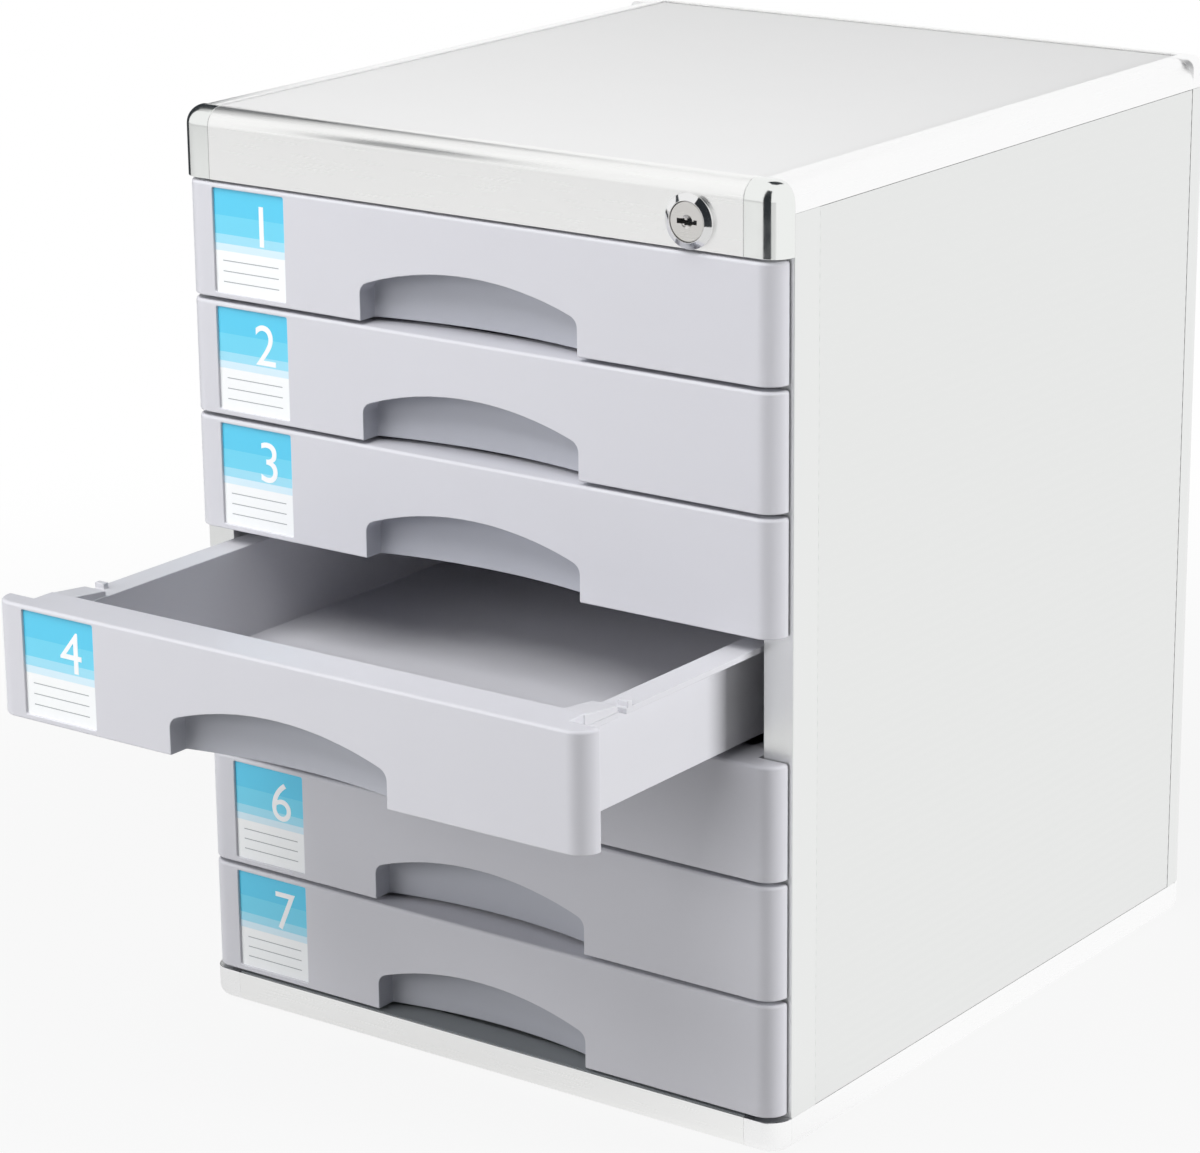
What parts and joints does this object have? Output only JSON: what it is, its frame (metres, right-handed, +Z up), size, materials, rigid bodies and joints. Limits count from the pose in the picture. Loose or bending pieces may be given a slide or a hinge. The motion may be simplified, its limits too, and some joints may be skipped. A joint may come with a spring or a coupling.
{
  "type": "desktop file drawer cabinet",
  "caption": "Desktop filing cabinet with stacked pull-out drawers, arched finger recesses, label pockets, ribbed side walls, silver corner rails and a cam lock that bolts the drawers.",
  "frame": {"origin": "centre of the closed cabinet's footprint, on the desk", "axes": "+X to the right along the front, +Y from the drawer fronts to the back, +Z up"},
  "size_m": [0.3, 0.4624, 0.398],
  "materials": {
    "rail_alloy": "satin silver anodised nosing",
    "corner_silver": "bright silver plated moulding",
    "post_alloy": "satin silver anodised tube",
    "side_sheet": "ribbed satin sheet",
    "top_board": "fine matte light grey",
    "back_board": "matte light grey",
    "base_board": "matte mid grey",
    "drawer_plastic": "fine satin lavender grey",
    "tray_plastic": "fine satin light grey",
    "label_card": "printed card",
    "runner_plastic": "matte charcoal",
    "foot_rubber": "matte black",
    "lock_chrome": "polished chrome",
    "plated_steel": "zinc plated"
  },
  "bodies": {
    "cabinet": {"top_panel": "top_board", "top_rail_front": "rail_alloy", "top_rail_rear": "rail_alloy", "back_panel": "back_board", "base_rail_front": "rail_alloy", "base_rail_rear": "rail_alloy", "base_panel": "base_board", "foot_pads": "foot_rubber", "lock_housing": "lock_chrome", "lock_nut": "plated_steel", "lock_bar_guides": "runner_plastic", "frame_screws": "plated_steel", "top_corners_front": "corner_silver", "top_corners_rear": "corner_silver", "base_corners": "corner_silver", "top_rail_right": "rail_alloy", "top_rail_left": "rail_alloy", "post_front_right": "post_alloy", "post_front_left": "post_alloy", "post_rear_right": "post_alloy", "post_rear_left": "post_alloy", "side_panel_right": "side_sheet", "side_panel_left": "side_sheet", "base_rail_right": "rail_alloy", "base_rail_left": "rail_alloy", "runner_wall_right": "runner_plastic", "runner_wall_left": "runner_plastic", "runner_ledges_right": "runner_plastic", "runner_ledges_left": "runner_plastic", "hold_downs_right": "runner_plastic", "hold_downs_left": "runner_plastic"},
    "drawer_1": {"drawer_1_tray": "tray_plastic", "drawer_1_front": "drawer_plastic", "drawer_1_label": "label_card"},
    "drawer_2": {"drawer_2_tray": "tray_plastic", "drawer_2_front": "drawer_plastic", "drawer_2_label": "label_card"},
    "drawer_3": {"drawer_3_tray": "tray_plastic", "drawer_3_front": "drawer_plastic", "drawer_3_label": "label_card"},
    "drawer_4": {"drawer_4_tray": "tray_plastic", "drawer_4_front": "drawer_plastic", "drawer_4_label": "label_card"},
    "drawer_5": {"drawer_5_tray": "tray_plastic", "drawer_5_front": "drawer_plastic", "drawer_5_label": "label_card"},
    "drawer_6": {"drawer_6_tray": "tray_plastic", "drawer_6_front": "drawer_plastic", "drawer_6_label": "label_card"},
    "drawer_7": {"drawer_7_tray": "tray_plastic", "drawer_7_front": "drawer_plastic", "drawer_7_label": "label_card"},
    "lock_plug": {"lock_plug": "lock_chrome", "lock_cam": "plated_steel"},
    "lock_bar": {"lock_bar": "plated_steel"}
  },
  "joints": [
    {"name": "drawer_1_slide", "type": "slide", "parent": "cabinet", "child": "drawer_1", "axis": [0, -1, 0], "range_m": [0, 0.2287]},
    {"name": "drawer_2_slide", "type": "slide", "parent": "cabinet", "child": "drawer_2", "axis": [0, -1, 0], "range_m": [0, 0.2287]},
    {"name": "drawer_3_slide", "type": "slide", "parent": "cabinet", "child": "drawer_3", "axis": [0, -1, 0], "range_m": [0, 0.2287]},
    {"name": "drawer_4_slide", "type": "slide", "parent": "cabinet", "child": "drawer_4", "axis": [0, -1, 0], "range_m": [-0.1238, 0.1049]},
    {"name": "drawer_5_slide", "type": "slide", "parent": "cabinet", "child": "drawer_5", "axis": [0, -1, 0], "range_m": [0, 0.2287]},
    {"name": "drawer_6_slide", "type": "slide", "parent": "cabinet", "child": "drawer_6", "axis": [0, -1, 0], "range_m": [0, 0.2287]},
    {"name": "drawer_7_slide", "type": "slide", "parent": "cabinet", "child": "drawer_7", "axis": [0, -1, 0], "range_m": [0, 0.2287]},
    {"name": "lock_turn", "type": "hinge", "parent": "cabinet", "child": "lock_plug", "pos_m": [0.109, -0.1685, 0.3798], "axis": [0, 1, 0], "range_deg": [0, 90]},
    {"name": "lock_bar_slide", "type": "slide", "parent": "cabinet", "child": "lock_bar", "axis": [0, 0, -1], "range_m": [0, 0.00848]}
  ],
  "couplings": [
    {"joint": "lock_turn", "follows": "lock_bar_slide", "rad_per_m": 185.12}
  ]
}
